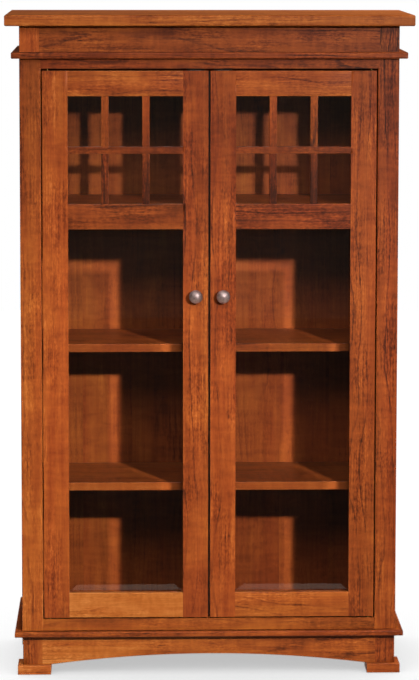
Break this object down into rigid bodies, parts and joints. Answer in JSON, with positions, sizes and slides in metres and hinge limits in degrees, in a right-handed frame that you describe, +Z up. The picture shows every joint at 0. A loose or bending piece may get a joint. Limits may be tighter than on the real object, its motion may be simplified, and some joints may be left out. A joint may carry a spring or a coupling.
{
  "type": "two-door glazed bookcase",
  "caption": "Free-standing wooden bookcase with glazed inset doors on concealed pivots, adjustable shelves, moulded top and arched, footed base.",
  "frame": {"origin": "centre of the overall box at floor level, the height that the feet rest on", "axes": "+Z up, the doors face -Y, +X to the right seen from the front"},
  "size_m": [0.93, 0.365, 1.528],
  "materials": {
    "stained_cherry": "satin lacquer over a reddish brown stain",
    "unfinished_inside": "stained, without gloss",
    "clear_glass": "clear",
    "satin_pewter": "satin",
    "satin_brass": "satin",
    "zinc_steel": "zinc plated",
    "brown_plastic": "moulded, matt"
  },
  "bodies": {
    "case": {"top_panel": "stained_cherry", "top_cleats": "unfinished_inside", "top_screws": "zinc_steel", "side_panel_left": "stained_cherry", "side_panel_right": "stained_cherry", "face_stile_left": "stained_cherry", "face_stile_right": "stained_cherry", "face_rail_top": "stained_cherry", "face_rail_bottom": "stained_cherry", "frieze_board": "stained_cherry", "frieze_posts": "stained_cherry", "upper_moulding_front": "stained_cherry", "upper_moulding_left": "stained_cherry", "upper_moulding_right": "stained_cherry", "lower_moulding_front": "stained_cherry", "lower_moulding_left": "stained_cherry", "lower_moulding_right": "stained_cherry", "ceiling_panel": "unfinished_inside", "bottom_panel": "stained_cherry", "shelf_upper": "stained_cherry", "shelf_middle": "stained_cherry", "shelf_lower": "stained_cherry", "shelf_pins": "satin_brass", "back_panel": "stained_cherry", "back_rails": "unfinished_inside", "base_posts": "stained_cherry", "apron_front": "stained_cherry", "side_aprons": "stained_cherry", "apron_back": "unfinished_inside", "feet": "stained_cherry", "frame_pivots": "satin_brass", "magnetic_catches": "brown_plastic"},
    "door_left": {"hinge_stile_left": "stained_cherry", "lock_stile_left": "stained_cherry", "top_rail_left": "stained_cherry", "mid_rail_left": "stained_cherry", "bottom_rail_left": "stained_cherry", "muntin_bar_left": "stained_cherry", "muntin_posts_left": "stained_cherry", "upper_glass_left": "clear_glass", "lower_glass_left": "clear_glass", "glass_stops_left": "stained_cherry", "knob_left": "satin_pewter", "knob_screw_left": "zinc_steel", "door_pivots_left": "satin_brass", "strike_plate_left": "zinc_steel"},
    "door_right": {"hinge_stile_right": "stained_cherry", "lock_stile_right": "stained_cherry", "top_rail_right": "stained_cherry", "mid_rail_right": "stained_cherry", "bottom_rail_right": "stained_cherry", "muntin_bar_right": "stained_cherry", "muntin_posts_right": "stained_cherry", "upper_glass_right": "clear_glass", "lower_glass_right": "clear_glass", "glass_stops_right": "stained_cherry", "knob_right": "satin_pewter", "knob_screw_right": "zinc_steel", "door_pivots_right": "satin_brass", "strike_plate_right": "zinc_steel"}
  },
  "joints": [
    {"name": "door_left_hinge", "type": "hinge", "parent": "case", "child": "door_left", "pos_m": [-0.3695, -0.1385, 0.132], "axis": [0, 0, -1], "range_deg": [0, 110]},
    {"name": "door_right_hinge", "type": "hinge", "parent": "case", "child": "door_right", "pos_m": [0.3695, -0.1385, 0.132], "axis": [0, 0, 1], "range_deg": [0, 110]}
  ]
}
